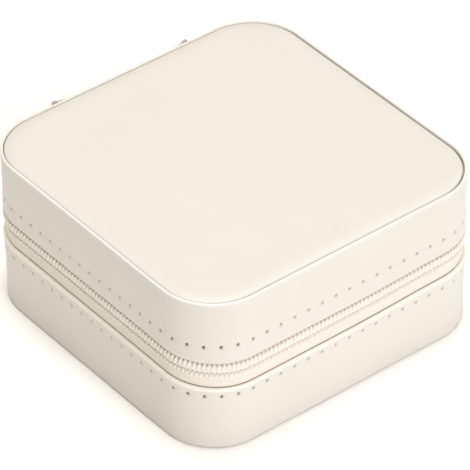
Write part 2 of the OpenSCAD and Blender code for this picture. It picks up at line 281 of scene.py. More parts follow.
def makeBoard():
    # grey board: pressed waste paper, so it is matt and flecked
    made, tree, shader = startMaterial("greyBoard")
    place = addNode(tree, "ShaderNodeTexCoord", {}, "Object")
    fleck = addNode(tree, "ShaderNodeTexNoise", {"Vector": place, "Scale": 1 / boardLook["fleck"], "Detail": 5.0},
                    "Fac")
    colour = addNode(tree, "ShaderNodeMix", {0: fleck, 6: boardLook["deep"], 7: boardLook["pale"]}, 2,
                     data_type="RGBA")
    pulp = addNode(tree, "ShaderNodeBump",
                   {"Height": fleck, "Distance": boardLook["fleckDepth"], "Strength": 0.5}, "Normal")
    feed(tree, shader, {"Base Color": colour, "Roughness": 0.9, "Normal": pulp})
    return made


foamLook = {"deep": "#dccfb8", "pale": "#efe7d6", "cell": 0.5 * mm, "cellDepth": 0.1 * mm}


def makeFoam():
    # polyurethane foam: open cells, so it is matt and pitted
    made, tree, shader = startMaterial("paddingFoam")
    place = addNode(tree, "ShaderNodeTexCoord", {}, "Object")
    cell = addNode(tree, "ShaderNodeTexVoronoi", {"Vector": place, "Scale": 1 / foamLook["cell"]}, "Distance")
    colour = addNode(tree, "ShaderNodeMix", {0: cell, 6: foamLook["pale"], 7: foamLook["deep"]}, 2,
                     data_type="RGBA")
    pits = addNode(tree, "ShaderNodeBump",
                   {"Height": cell, "Distance": foamLook["cellDepth"], "Strength": 0.6}, "Normal")
    feed(tree, shader, {"Base Color": colour, "Roughness": 1.0, "Normal": pits})
    return made


looks = {
    "leatherette": makeLeatherette(),
    "velvet": makeVelvet(),
    "zip_tape": makeZipTape(),
    "zip_coil": makeNylon(),
    "thread": makeThread(),
    "metal": makeNickel(),
    "board": makeBoard(),
    "foam": makeFoam(),
}
looks["elastic"] = looks["velvet"]  # the pocket's hem is an elastic in a velvet sleeve
print("materials made")


def bell(value, half):  # 1 at zero, falling away on both sides
    return math.exp(-(value / half) ** 2)


def fade(value, width):  # falls from 1 to 0 as the value passes zero
    return 1 / (1 + math.exp(value / width))


def keepIn(value, low, high):
    return min(max(value, low), high)


def finishPiece(name, bm, look, body=None, sharp=40):  # a bmesh becomes a piece that rides on a body
    mesh = bpy.data.meshes.new(name)
    bm.to_mesh(mesh)
    bm.free()
    mesh.polygons.foreach_set("use_smooth", [True] * len(mesh.polygons))
    mesh.set_sharp_from_angle(angle=math.radians(sharp))
    mesh.materials.append(looks[look])
    made = bpy.data.objects.new(name, mesh)
    scene.collection.objects.link(made)
    if body:
        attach(made, body)
    return made


def onPath(run):  # place and heading at a distance round the outline, from the front's left end
    run = run % wholeRun
    half = runW + runD + 2 * arcRun
    flip = 1
    if run >= half:
        run, flip = run - half, -1
    if run < runW:
        x, y, turn = run - runW / 2, -halfD, 0
    elif run < runW + arcRun:
        turn = (run - runW) / cornerR
        x, y = runW / 2 + cornerR * math.sin(turn), -runD / 2 - cornerR * math.cos(turn)
    elif run < runW + arcRun + runD:
        x, y, turn = halfW, run - runW - arcRun - runD / 2, math.pi / 2
    else:
        turn = math.pi / 2 + (run - runW - arcRun - runD) / cornerR
        x, y = runW / 2 + cornerR * math.sin(turn), runD / 2 - cornerR * math.cos(turn)
    return Vector((x * flip, y * flip)), turn + (math.pi if flip < 0 else 0)


def runOf(x, y):  # distance round the outline of the point nearest to (x, y)
    ax, ay = runW / 2, runD / 2
    if abs(x) <= ax and abs(x) - halfW < abs(y) - halfD:
        return x + ax if y < 0 else runW + runD + 2 * arcRun + ax - x
    if abs(y) <= ay:
        return runW + arcRun + y + ay if x > 0 else 2 * runW + runD + 3 * arcRun + ay - y
    turn = math.atan2(abs(y) - ay, abs(x) - ax) * cornerR
    if x > 0:
        return runW + arcRun - turn if y < 0 else runW + arcRun + runD + turn
    start = 2 * runW + runD + 2 * arcRun
    return start + arcRun - turn if y > 0 else start + arcRun + runD + turn


def runFrom(mark, x, y):  # signed distance round the outline from a mark, the short way
    return (runOf(x, y) - mark + wholeRun / 2) % wholeRun - wholeRun / 2


def pastCorner(x, y):  # how far a point lies beyond the straight stretches, both ways
    return Vector((max(abs(x) - runW / 2, 0), max(abs(y) - runD / 2, 0)))


def outward(x, y):  # unit vector out of the wall nearest to (x, y)
    away = pastCorner(x, y)
    if away.length < 1e-9:
        away = Vector((1, 0)) if halfW - abs(x) < halfD - abs(y) else Vector((0, 1))
    away.normalize()
    return Vector((math.copysign(away.x, x), math.copysign(away.y, y), 0))


def depthOf(x, y):  # how far a point lies inside the outline
    away = pastCorner(x, y)
    if away.length < 1e-9:
        return min(halfW - abs(x), halfD - abs(y))
    return cornerR - away.length


def boxProfile(inner, outer, low, high, radii, step=1.0, arcParts=4):  # rounded cross-section, (out, z)
    points = []  # radii run outer low, outer high, inner high, inner low
    corners = ((outer, low, -1, 1, -90), (outer, high, -1, -1, 0), (inner, high, 1, -1, 90), (inner, low, 1, 1, 180))
    for radius, (x, z, toX, toZ, start) in zip(radii, corners):
        for i in range(arcParts + 1):
            turn = math.radians(start + 90 * i / arcParts)
            points.append((x + toX * radius + radius * math.cos(turn), z + toZ * radius + radius * math.sin(turn)))
    return fillProfile(points, step)


def fillProfile(points, step):  # puts points along the long stretches of a closed profile
    filled = []
    for a, b in zip(points, points[1:] + points[:1]):
        parts = max(1, round(math.dist(a, b) / step))
        filled += [(a[0] + (b[0] - a[0]) * i / parts, a[1] + (b[1] - a[1]) * i / parts) for i in range(parts)]
    return filled


weld = 0.002 * mm  # points closer than this are one


def sweepOutline(bm, profile, step):  # carries a closed profile once round the box
    steps, rows = round(wholeRun / step), len(profile)
    bmesh.ops.create_grid(bm, x_segments=steps, y_segments=rows, size=0.5)
    for v in bm.verts:
        across, row = round((v.co.x + 0.5) * steps) % steps, round((v.co.y + 0.5) * rows) % rows
        out, z = profile[row]
        place = onPath(across * wholeRun / steps)[0]
        v.co = Vector((place.x, place.y, z)) + outward(place.x, place.y) * out
    bmesh.ops.remove_doubles(bm, verts=bm.verts, dist=weld)
    bmesh.ops.recalc_face_normals(bm, faces=bm.faces)


def addRunMap(bm):  # a UV map in metres: round the box, and up
    layer = bm.loops.layers.uv.new("run")
    for face in bm.faces:
        runs = [runOf(loop.vert.co.x, loop.vert.co.y) for loop in face.loops]
        wrap = max(runs) - min(runs) > wholeRun / 2
        for loop, run in zip(face.loops, runs):
            if wrap and run < wholeRun / 2:
                run += wholeRun
            loop[layer].uv = (run, loop.vert.co.z)


def liftFaces(bm, faces, move):  # extrudes faces by a vector
    grown = bmesh.ops.extrude_face_region(bm, geom=faces)["geom"]
    lifted = [g for g in grown if isinstance(g, bmesh.types.BMVert)]
    bmesh.ops.translate(bm, verts=lifted, vec=move)
    bmesh.ops.recalc_face_normals(bm, faces=bm.faces)


def roundedSlab(bm, inset, low, high, arcSteps):  # a flat plate with the box's plan
    start = bm.verts.new((halfW - inset, runD / 2, low))
    bmesh.ops.spin(bm, geom=[start], axis=(0, 0, 1), cent=(runW / 2, runD / 2, 0), angle=math.pi / 2,
                   steps=arcSteps)
    quarter = list(bm.verts)
    for toX, toY in ((-1, 1), (-1, -1), (1, -1)):
        copied = bmesh.ops.duplicate(bm, geom=quarter)["geom"]
        for v in copied:
            v.co.x, v.co.y = v.co.x * toX, v.co.y * toY
    for e in list(bm.edges):
        bm.edges.remove(e)
    face = bm.faces.new(sorted(bm.verts, key=lambda v: runOf(v.co.x, v.co.y)))
    liftFaces(bm, [face], (0, 0, high - low))


def bevelEdges(bm, edges, width, segments):
    bmesh.ops.bevel(bm, geom=edges, offset=width, offset_type="OFFSET", affect="EDGES", segments=segments,
                    profile=0.5, material=-1, clamp_overlap=True)


def softCopy(name, cadNode, width, body, look, segments):  # a CAD node with its edges rounded
    bm = bmesh.new()
    bm.from_mesh(frame["nodes"][cadNode].data)
    bmesh.ops.remove_doubles(bm, verts=bm.verts, dist=weld / 2)
    bmesh.ops.dissolve_limit(bm, angle_limit=math.radians(1), verts=bm.verts, edges=bm.edges)
    sharpEdges = [e for e in bm.edges if e.is_manifold and e.calc_face_angle(0) > math.radians(30)]
    bevelEdges(bm, sharpEdges, width, segments)
    made = finishPiece(name, bm, look, body)
    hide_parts(cadNode)


def wireMesh(points, radius):  # a short wire through points, as mesh data
    curve = bpy.data.curves.new("wire", "CURVE")
    curve.dimensions = "3D"
    curve.bevel_depth = radius
    curve.bevel_resolution = 1
    curve.use_fill_caps = True
    spline = curve.splines.new("POLY")
    spline.points.add(len(points) - 1)
    for point, place in zip(spline.points, points):
        point.co = (*place, 1)
    holder = bpy.data.objects.new("wire", curve)
    mesh = bpy.data.meshes.new_from_object(holder)
    bpy.data.objects.remove(holder)
    bpy.data.curves.remove(curve)
    return mesh


def addCopy(bm, template, place):  # one more copy of a small mesh
    copied = template.copy()
    copied.transform(place)
    bm.from_mesh(copied)
    bpy.data.meshes.remove(copied)


def pathFrame(run, z, out=0.0):  # matrix whose X runs along the path and whose -Y points out of the wall
    place, turn = onPath(run)
    away = outward(place.x, place.y)
    return Matrix.Translation((place.x + away.x * out, place.y + away.y * out, z)) @ Matrix.Rotation(turn, 4, "Z")


# Stitched side bands
stitch = {
    "pitch": 4.72 * mm,
    "sidePitch": 4.28 * mm,  # the left side was sewn tighter
    "lidRow": 4.0 * mm,  # above the lid band's lower edge
    "baseRow": 3.4 * mm,  # below the base band's upper edge
    "holeR": 0.38 * mm,
    "holeDepth": 0.6 * mm,
    "shut": 0.45,  # depth of a plain hole, and the painted shade in it, next to one that is pulled open
    "openHalf": 15 * mm,  # reach of the holes that the front left corner pulls open
    "groove": 0.02 * mm,  # depth of the line pressed in along the row
    "grooveHalf": 0.45 * mm,
    "pucker": 0.05 * mm,  # how far the thread draws the skin in
    "puckerHalf": 1.3 * mm,
    "hemRise": 0.12 * mm,  # the skin is double below the row on the lid, above it on the base
    "hemWidth": 0.35 * mm,
    "threadR": 0.13 * mm,
    "threadDeep": 0.1 * mm,  # how far its middle lies below the skin
    "threadSink": 0.8 * mm,  # how steeply its ends dip into the holes
    "lean": 1.5,  # degrees, the most a stitch leans
}
band = {
    "thickness": 1.0 * mm,
    "wave": 0.13 * mm,  # how far the glued skin strays from flat
    "waveMean": 0.6,  # keeps the waves inside the flat wall
    "waveSize": 22 * mm,
    "step": 0.29 * mm,
    "rowStep": 0.22 * mm,  # the mesh is finer near the stitches
    "rowCount": 9,
    "overhang": 1.0 * mm,  # how far the lid's hem hangs over the zip
    "lip": 0.28 * mm,  # how far the base's turned edge puffs out
    "lipHalf": 0.9 * mm,
    "dip": 1.0 * mm,  # how far the zip line sags at its lowest point
    "dipAt": 18 * mm,  # run of the lowest point
    "dipHalf": 37 * mm,
    "dipLow": 1.7 * mm,  # the sag ends this far below the base band's edge
    "dipHigh": 2.0 * mm,  # and this far above the lid band's edge
}
# the last two entries set the width and strength of the painted highlight along each band's top edge
lidEdges = {"rolls": [r * mm for r in (0.5, 0.5, 0.35, 0.35)], "rimWide": 0.45 * mm, "rimShare": 0.6}
baseEdges = {"rolls": [r * mm for r in (0.5, 0.75, 0.2, 0.35)], "rimWide": 1.1 * mm, "rimShare": 1.0}
sideStart = 2 * runW + runD + 3 * arcRun
restRun = wholeRun - runD
sideCount = round(runD / stitch["sidePitch"])
restCount = round(restRun / stitch["pitch"])


def stitchPhase(run):  # how many stitches lie before this distance, as a real number
    run = run % wholeRun
    if run < sideStart:
        return run / restRun * restCount
    if run < sideStart + runD:
        return sideStart / restRun * restCount + (run - sideStart) / runD * sideCount
    return (run - runD) / restRun * restCount + sideCount


def stitchRun(count):  # the other way round
    first = sideStart / restRun * restCount
    if count < first:
        return count * restRun / restCount
    if count < first + sideCount:
        return sideStart + (count - first) / sideCount * runD
    return (count - sideCount) * restRun / restCount + runD


def holeGap(x, y):  # how far the nearest needle hole is, in stitches
    return (stitchPhase(runOf(x, y)) + 0.5) % 1 - 0.5


def zipDip(x, y, z):  # the zip line sags a little at the front, as sewn leather does
    near = fade(bandHigh.z - band["dipLow"] - z, 0.35 * mm) * fade(z - lidBandLow.z - band["dipHigh"], 0.4 * mm)
    return -band["dip"] * math.exp(-(runFrom(band["dipAt"], x, y) / band["dipHalf"]) ** 4) * near


def skinMove(x, y, z, rowZ, hemSide):  # how far the skin stands out of the flat wall, holes apart
    up = z - rowZ
    drawn = 1 + bell(up, stitch["puckerHalf"]) * math.cos(2 * math.pi * holeGap(x, y))
    single = 1 - fade(-hemSide * up, stitch["hemWidth"])
    slow = noise.noise(Vector((x, y, z * 1.5)) / band["waveSize"])
    return (band["wave"] * (slow - band["waveMean"]) - stitch["hemRise"] * single
            - stitch["groove"] * bell(up, stitch["grooveHalf"]) - stitch["pucker"] * drawn)


def shapeBand(bm, rowZ, hemSide, high, edges):  # needle holes, hem and slow waves
    paintedShade = bm.verts.layers.float.new("paintedShade")
    rim = bm.verts.layers.float.new("rim")
    for v in bm.verts:
        x, y, z = v.co
        # painted highlight along the band's top edge
        v[rim] = keepIn(1.3 - (high - z) / edges["rimWide"], 0.0, 1.0) * edges["rimShare"]
        v.co.z += zipDip(x, y, z)
        if depthOf(x, y) > 0.7 * band["thickness"]:
            continue
        near = bell(math.hypot(holeGap(x, y) * stitch["pitch"], z - rowZ), stitch["holeR"])
        opened = stitch["shut"] + (1 - stitch["shut"]) * bell(runFrom(-arcRun / 2, x, y), stitch["openHalf"])
        lip = band["lip"] * bell(high - z, band["lipHalf"]) if hemSide > 0 else 0
        v.co += outward(x, y) * (skinMove(x, y, z, rowZ, hemSide) - stitch["holeDepth"] * near * opened + lip)
        # painted shade in the needle holes, deeper where they are pulled open
        v[paintedShade] = min(1.0, 1.9 * near) * opened


def makeBand(name, cadNode, body, rowZ, hemSide, low, high, edges):
    profile = boxProfile(-band["thickness"], 0, low, high, edges["rolls"], 1.1 * mm)
    onWall = [p[0] > -0.01 * mm for p in profile]
    first = onWall.index(True)
    lower, upper = profile[:first], [p for p, wall in zip(profile[first:], onWall[first:]) if not wall]
    count = band["rowCount"]
    fineRows = [rowZ + k * band["rowStep"] for k in range(-count, count + 1)]
    reach = count * band["rowStep"] + 0.12 * mm
    plainRows = [p[1] for p, wall in zip(profile, onWall) if wall and abs(p[1] - rowZ) > reach]
    heights = sorted({round(z, 7) for z in plainRows + fineRows})
    bm = bmesh.new()
    sweepOutline(bm, lower + [(0.0, z) for z in heights] + upper, band["step"])
    shapeBand(bm, rowZ, hemSide, high, edges)
    made = finishPiece(name, bm, "leatherette", body, 60)
    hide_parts(cadNode)


lidRowZ = lidBandLow.z + stitch["lidRow"]
baseRowZ = bandHigh.z - stitch["baseRow"]
makeBand("lidSideBand", "lid_side_band", "lid", lidRowZ, -1, lidBandLow.z - band["overhang"], lidBandHigh.z,
         lidEdges)
makeBand("baseSideBand", "base_side_band", "base", baseRowZ, 1, bandLow.z, bandHigh.z, baseEdges)
print("side bands made")


def makeStitches(name, cadNode, body, rowZ, hemSide):  # thread that dips into a hole at both ends
    low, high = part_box("spine_lower_leaf")
    reach = stitch["pitch"] / 2
    parts = (-0.84, -0.77, -0.6, -0.3, 0, 0.3, 0.6, 0.77, 0.84)
    template = wireMesh([(reach * t, stitch["threadSink"] * abs(t) ** 6, 0) for t in parts], stitch["threadR"])
    bm = bmesh.new()
    for i in range(restCount + sideCount):
        run = stitchRun(i + 0.5)
        place = onPath(run)[0]
        if place.y > runD / 2 and low.x < place.x < high.x:
            continue
        skin = skinMove(place.x, place.y, rowZ, rowZ, hemSide) - stitch["threadDeep"]
        lean = Matrix.Rotation(math.radians(stitch["lean"] * math.sin(7.3 * i)), 4, "Y")
        addCopy(bm, template, pathFrame(run, rowZ, skin) @ lean)
    made = finishPiece(name, bm, "thread", body)
    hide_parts(cadNode)


makeStitches("lidStitches", "lid_stitches", "lid", lidRowZ, -1)
makeStitches("baseStitches", "base_stitches", "base", baseRowZ, 1)
print("stitches made")


# Top panel: foam-backed leatherette, turned down at its edge
panel = {
    "inset": 1.26 * mm,
    "roll": 0.6 * mm,  # radius of the turned edge
    "crown": 0.55 * mm,  # how much lower the edge lies than the middle
    "crownRun": 4.2 * mm,
    "crownPower": 2.2,
    "low": 1.6 * mm,  # height of the turned-down side
    "shift": 0.17 * mm,  # it was glued in a little too far back, so the seam gapes at the front
    "seamShade": 0.7,  # painted shade on the turned-down side, in the seam
    "rings": (0.3, 0.4, 0.5, 0.6, 0.7, 0.8, 0.9, 2, 3, 4),  # mm, mesh rings in from the edge
}


def topFace(bm):
    return max(bm.faces, key=lambda f: f.calc_center_median().z)


def makeLidPanel():
    bm = bmesh.new()
    roundedSlab(bm, panel["inset"], lidTop - panel["low"], lidTop, 28)
    bevelEdges(bm, list(topFace(bm).edges), panel["roll"], 7)
    top = topFace(bm)
    for width in panel["rings"]:
        bmesh.ops.inset_region(bm, faces=[top], thickness=width * mm, use_even_offset=True)
    paintedShade = bm.verts.layers.float.new("paintedShade")
    for v in bm.verts:
        inward = depthOf(v.co.x, v.co.y) - panel["inset"]
        # painted shade on the turned-down side below the roll, in the seam
        v[paintedShade] = panel["seamShade"] if v.co.z < lidTop - panel["roll"] * 0.6 else 0.0
        v.co.z -= panel["crown"] * max(0.0, 1 - inward / panel["crownRun"]) ** panel["crownPower"]
        v.co.y += panel["shift"]
    made = finishPiece("lidTopPanel", bm, "leatherette", "lid")
    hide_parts("lid_top_cover")


makeLidPanel()
print("top panel made")


# Zip tapes, woven, with the row of thread that sews each coil down
zipper = {
    "pitch": 1.35 * mm,  # one tooth to the next on the same tape
    "wireR": 0.25 * mm,
    "wireFlat": 1.45,  # the wire is pressed this much wider than thick
    "reach": 1.5 * mm,  # from the centre line to the coil's outer edge
    "reachBack": 0.35 * mm,  # how much nearer it is on the coil that lies behind
    "slant": 14,  # degrees
    "rowOff": 2.45 * mm,  # from the centre line to the sewing row
    "rowHalf": 0.45 * mm,
    "rowRise": 0.12 * mm,
    "lockR": 0.2 * mm,  # the sewing row's thread
    "lockFlat": 1.6,
    "tapeGap": 0.08 * mm,  # from the centre line to a tape's edge
    "tapeDepth": 0.72 * mm,  # how far the tape lies behind the side bands
    "tapeBack": 1.6 * mm,
    "tuck": 0.4 * mm,  # how far the tape sinks where it goes under a side band
    "tuckFrom": 0.25 * mm,
    "pitOff": 1.5 * mm,  # from the centre line to the pits beside the coil
    "pitDeep": 0.2 * mm,
    "pitR": 0.28 * mm,
    "bed": 0.46 * mm,  # how far the tape swells up behind the coil
    "bedHalf": 1.1 * mm,
    "ditch": 0.18 * mm,  # depth of the line pressed in along the coil's edge
    "ditchHalf": 0.25 * mm,
    # strength of the painted shade along the coil's edge, for each tape
    "ditchShade": {"lower": 0.7, "upper": 0.95},
}


def makeTape(name, cadNode, body, which):
    low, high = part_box(cadNode)
    upper = which == "upper"
    edge = zipZ + (1 if upper else -1) * zipper["tapeGap"]
    tuckOff = abs((lidBandLow.z if upper else bandHigh.z) - zipZ) - zipper["tuckFrom"]
    depth, pitOff = zipper["tapeDepth"], zipper["pitOff"]
    profile = boxProfile(-zipper["tapeBack"], -depth, min(low.z, edge), max(high.z, edge), [0.2 * mm] * 4,
                         0.28 * mm, 2)
    bm = bmesh.new()
    sweepOutline(bm, profile, zipper["pitch"] / 5)
    pitShade = bm.verts.layers.float.new("paintedShade")
    for v in bm.verts:
        x, y, z = v.co
        v.co.z += zipDip(x, y, z)
        if depthOf(x, y) > depth + 0.1 * mm:
            continue
        off = abs(z - zipZ)
        phase = (runOf(x, y) / zipper["pitch"] + (0.25 if upper else 0.75)) % 1 - 0.5
        dent = bell(math.hypot(phase * zipper["pitch"], (off - pitOff) * 0.8), zipper["pitR"])
        under = fade(tuckOff - off, 0.08 * mm)
        move = zipper["bed"] * fade(off - zipper["bedHalf"], 0.08 * mm)
        move -= zipper["ditch"] * bell(off - pitOff, zipper["ditchHalf"]) + zipper["pitDeep"] * dent
        move += zipper["rowRise"] * bell(off - zipper["rowOff"], zipper["rowHalf"]) * (1 - under)
        v.co += outward(x, y) * (move - zipper["tuck"] * under)
        # painted shade in the dents, along the ditch, and where the tape goes under a side band, as a shadow under
        # the hem
        line = zipper["ditchShade"][which] * bell(off - pitOff, 0.24 * mm) * (1 - dent)
        v[pitShade] = min(1.0, 0.7 * dent + line + under)
    addRunMap(bm)
    made = finishPiece(name, bm, "zip_tape", body, 80)
    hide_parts(cadNode)


makeTape("lowerZipTape", "lower_zip_tape", "base", "lower")
makeTape("upperZipTape", "upper_zip_tape", "lid", "upper")


def coilRuns(endY):  # runs of the teeth, from beside the spine round three sides to a point on the right side
    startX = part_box("lower_zip_stops")[0].x - 0.2 * mm
    start = 2 * (runW + arcRun) + runD - (runW / 2 + startX)
    end = wholeRun + runW + arcRun + runD / 2 + endY
    count = int((end - start) / zipper["pitch"])
    return [start + zipper["pitch"] * (i + 0.5) for i in range(count)]


def makeCoil(name, cadNode, body, side, endY):
    depth, reach = zipper["tapeDepth"], zipper["reach"]
    # a tooth starts in the tape, lies across the front and dips its head over the centre line
    if side > 0:
        face, head = 0.27 * mm, -0.8 * mm
    else:
        face, head = 0.42 * mm, -0.45 * mm
        reach -= zipper["reachBack"]
    tooth = [(depth + 0.2 * mm, reach), (depth - 0.1 * mm, reach - 0.05 * mm),
             (face + 0.1 * mm, reach - 0.25 * mm), (face, reach - 0.55 * mm), (face, head + 0.5 * mm),
             (face + 0.08 * mm, head + 0.15 * mm), (face + 0.35 * mm, head)]
    template = wireMesh([(0, out, z * side) for out, z in tooth], zipper["wireR"])
    slant = Matrix.Rotation(math.radians(zipper["slant"]), 4, "Y")
    template.transform(slant @ Matrix.Diagonal((zipper["wireFlat"], 1, 1, 1)))
    loop = [(-0.1 * mm, 0.15 * mm, -0.42 * mm), (-0.05 * mm, -0.18 * mm, -0.26 * mm),
            (0.05 * mm, -0.18 * mm, 0.26 * mm), (0.1 * mm, 0.15 * mm, 0.42 * mm)]
    lock = wireMesh([(x, depth + out, z) for x, out, z in loop], zipper["lockR"])
    lock.transform(Matrix.Diagonal((zipper["lockFlat"], 1, 1, 1)))
    bm = bmesh.new()
    for run in coilRuns(endY):
        place = onPath(run)[0]
        middle = zipZ + zipDip(place.x, place.y, zipZ)
        addCopy(bm, template, pathFrame(run + (zipper["pitch"] / 2 if side > 0 else 0), middle))
        addCopy(bm, lock, pathFrame(run, middle + side * zipper["rowOff"]))
    made = finishPiece(name, bm, "zip_coil", body, 80)
    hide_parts(cadNode)


sliderLow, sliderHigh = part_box("zip_slider")
makeCoil("lowerZipCoil", "lower_zip_coil", "base", -1, sliderHigh.y + 0.4 * mm)
makeCoil("upperZipCoil", "upper_zip_coil", "lid", 1, sliderLow.y + 2.5 * mm)
softCopy("lowerZipStops", "lower_zip_stops", 0.25 * mm, "base", "metal", 3)
softCopy("upperZipStops", "upper_zip_stops", 0.25 * mm, "lid", "metal", 3)
softCopy("zipSlider", "zip_slider", 0.12 * mm, "zip_slider", "metal", 2)
softCopy("zipPull", "pull_tab", 0.25 * mm, "pull_tab", "metal", 3)
print("zip made")


# Hinge spine: one strip with turned edges, bent at the fold
spine = {
    "thin": 0.5 * mm,
    "thick": 1.2 * mm,
    "edge": 1.9 * mm,  # width of the turned edge on either side
    "bendHalf": 3.0 * mm,
    "crease": 0.25 * mm,  # how far the strip is pressed in along the fold
    "creaseHalf": 2.2 * mm,
    "endRun": 0.9 * mm,  # the strip thins towards its ends over this height
    "wave": 0.1 * mm,
    "waveSize": 12 * mm,
    "topDrop": 0.7 * mm,
    "rows": 110,
}


def makeSpine():
    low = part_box("spine_lower_leaf")[0]
    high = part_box("spine_upper_leaf")[1]
    half = high.x
    flat = half - spine["edge"]
    thin, thick, rows = spine["thin"], spine["thick"], spine["rows"]
    right = [(flat, thin), (flat + 0.5 * mm, thick * 0.95), (half - 0.8 * mm, thick),
             (half - 0.3 * mm, thick * 0.9), (half, thick * 0.55), (half, 0)]
    points = fillProfile([(-x, y) for x, y in reversed(right)] + right, 1.2 * mm)
    bm = bmesh.new()
    bmesh.ops.create_grid(bm, x_segments=len(points), y_segments=rows, size=0.5)
    endShade = bm.verts.layers.float.new("paintedShade")
    for v in bm.verts:
        i, j = round((v.co.x + 0.5) * len(points)) % len(points), round((v.co.y + 0.5) * rows)
        x, y = points[i]
        z = low.z + (high.z - low.z) * j / rows
        if y > 0.2 * mm:
            nearEnd = max(0.0, 1 - (high.z - z) / spine["endRun"], 1 - (z - low.z) / spine["endRun"])
            y -= spine["crease"] * bell(z - zipZ, spine["creaseHalf"]) + 0.35 * y * nearEnd ** 2
            y += spine["wave"] * (noise.noise(Vector((x, 0, z)) / spine["waveSize"]) - 0.6)
        topDrop = spine["topDrop"] * (abs(x) / half < 0.9) * (j / rows) ** 8
        # painted shade at the top ends of the turned edges
        v[endShade] = 0.5 if j == rows and abs(x) > flat else 0.0
        v.co = Vector((x, halfD + y, z - topDrop))
    bmesh.ops.remove_doubles(bm, verts=bm.verts, dist=weld)
    bmesh.ops.holes_fill(bm, edges=[e for e in bm.edges if e.is_boundary], sides=0)
    bmesh.ops.recalc_face_normals(bm, faces=bm.faces)
    made = finishPiece("hingeSpine", bm, "leatherette", None, 45)
    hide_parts("spine_lower_leaf", "spine_upper_leaf")
    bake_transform(made)


makeSpine()
print("spine made")


# Inside: linings, rolls, partition and dividers
lining = {
    "cloth": 0.8 * mm,
    "wall": 5.0 * mm,  # depth of its inner face
    "wallIn": 4.2 * mm,  # depth of its outer face
    "rimOut": 2.95 * mm,  # depth that its turned rim reaches
    "rimHem": 0.6 * mm,
}


def makeLining(name, cadNode, body, rimUp):
    low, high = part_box(cadNode)
    floorZ, rimZ, s = (low.z, high.z, 1) if rimUp else (high.z, low.z, -1)
    wall, wallIn, rimOut = lining["wall"], lining["wallIn"], lining["rimOut"]
    hemZ = rimZ - s * lining["rimHem"]
    points = [(-wall, floorZ), (-wall, rimZ - s * 0.5 * mm), (-wall + 0.15 * mm, rimZ - s * 0.12 * mm),
              (-wall + 0.5 * mm, rimZ), (-rimOut - 0.3 * mm, rimZ), (-rimOut, rimZ - s * 0.25 * mm),
              (-rimOut, hemZ), (-wallIn, hemZ), (-wallIn, floorZ)]
    bm = bmesh.new()
    sweepOutline(bm, fillProfile(points, 2 * mm), 1.5 * mm)
    wallPiece = finishPiece(name, bm, "velvet", body)
    bm = bmesh.new()
    lower = floorZ if rimUp else floorZ - lining["cloth"]
    roundedSlab(bm, wallIn + 0.01 * mm, lower, lower + lining["cloth"], 16)
    finishPiece(name + "Sheet", bm, "velvet", body)
    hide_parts(cadNode)


makeLining("baseLining", "base_lining", "base", True)
makeLining("lidLining", "lid_lining", "lid", False)


roll = {
    "grow": 10,  # the cloth solver likes a bigger piece, so it is blown up and shrunk back
    "voxel": 1.1 * mm,
    "slack": 0.55 * mm,  # how much smaller the roll starts, since it swells
    "cap": 1.3 * mm,  # how far a point may move
    "pressure": 4.0,
    "frames": 20,
    "tuck": 0.5 * mm,  # how much lower its ends are
    "tuckRun": 2.5 * mm,
}


def modified(obj):  # the mesh as its modifiers leave it
    mesh = bpy.data.meshes.new_from_object(obj.evaluated_get(bpy.context.evaluated_depsgraph_get()))
    obj.modifiers.clear()
    return mesh


def swell(obj):  # velvet pressed out from inside by its foam
    cloth = obj.modifiers.new("cloth", "CLOTH")
    cloth.settings.use_pressure = True
    cloth.settings.uniform_pressure_force = roll["pressure"]
    cloth.settings.effector_weights.gravity = 0
    cloth.settings.quality = 6
    cloth.settings.mass = 0.2
    cloth.settings.tension_stiffness = 12
    cloth.settings.bending_stiffness = 0.6
    cloth.collision_settings.use_collision = False
    cloth.point_cache.frame_end = roll["frames"] + 1
    for step in range(1, roll["frames"] + 1):
        scene.frame_set(step)
    swollen = modified(obj)
    scene.frame_set(1)
    return swollen


def makeRoll(i):  # a foam strip wrapped in velvet, plump on top and drawn in at its ends
    node = f"ring_roll_{i}"
    low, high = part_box(node)
    centre, size = (low + high) / 2, high - low
    bm = bmesh.new()
    bm.from_mesh(frame["nodes"][node].data)
    bmesh.ops.remove_doubles(bm, verts=bm.verts, dist=weld / 2)
    shrink = [1 - 2 * roll["slack"] / side for side in size]
    for v in bm.verts:
        v.co = Vector([(c - m) * k * roll["grow"] for c, m, k in zip(v.co, centre, shrink)])
    made = finishPiece(f"ringRoll{i}", bm, "velvet")
    remesh = made.modifiers.new("remesh", "REMESH")
    remesh.mode = "VOXEL"
    remesh.voxel_size = roll["voxel"] * roll["grow"]
    made.data = modified(made)
    start = [v.co.copy() for v in made.data.vertices]
    made.data = swell(made)
    reach = roll["cap"] * roll["grow"]
    for v, was in zip(made.data.vertices, start):
        move = v.co - was
        if move.length > reach:
            v.co = was + move * reach / move.length
        v.co = v.co / roll["grow"] + centre
        v.co = [keepIn(c, a, b) for c, a, b in zip(v.co, low, high)]
        end = min(v.co.x - low.x, high.x - v.co.x)
        v.co.z -= roll["tuck"] * math.exp(-end / roll["tuckRun"]) * (v.co.z - low.z) / size.z
    made.modifiers.new("smooth", "SMOOTH").iterations = 3
    made.modifiers.new("round", "SUBSURF").levels = 1
    made.data = modified(made)
    made.data.polygons.foreach_set("use_smooth", [True] * len(made.data.polygons))
    if not made.data.materials:
        made.data.materials.append(looks["velvet"])
    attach(made, "base")
    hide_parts(node)


for number in range(1, 8):
    makeRoll(number)
softCopy("partitionWall", "partition", 0.7 * mm, "base", "velvet", 4)
softCopy("dividerGuides", "divider_guides", 0.35 * mm, "base", "velvet", 3)
softCopy("frontDivider", "front_divider", 0.6 * mm, "front_divider", "velvet", 4)
softCopy("rearDivider", "rear_divider", 0.6 * mm, "rear_divider", "velvet", 4)
print("base inside made")


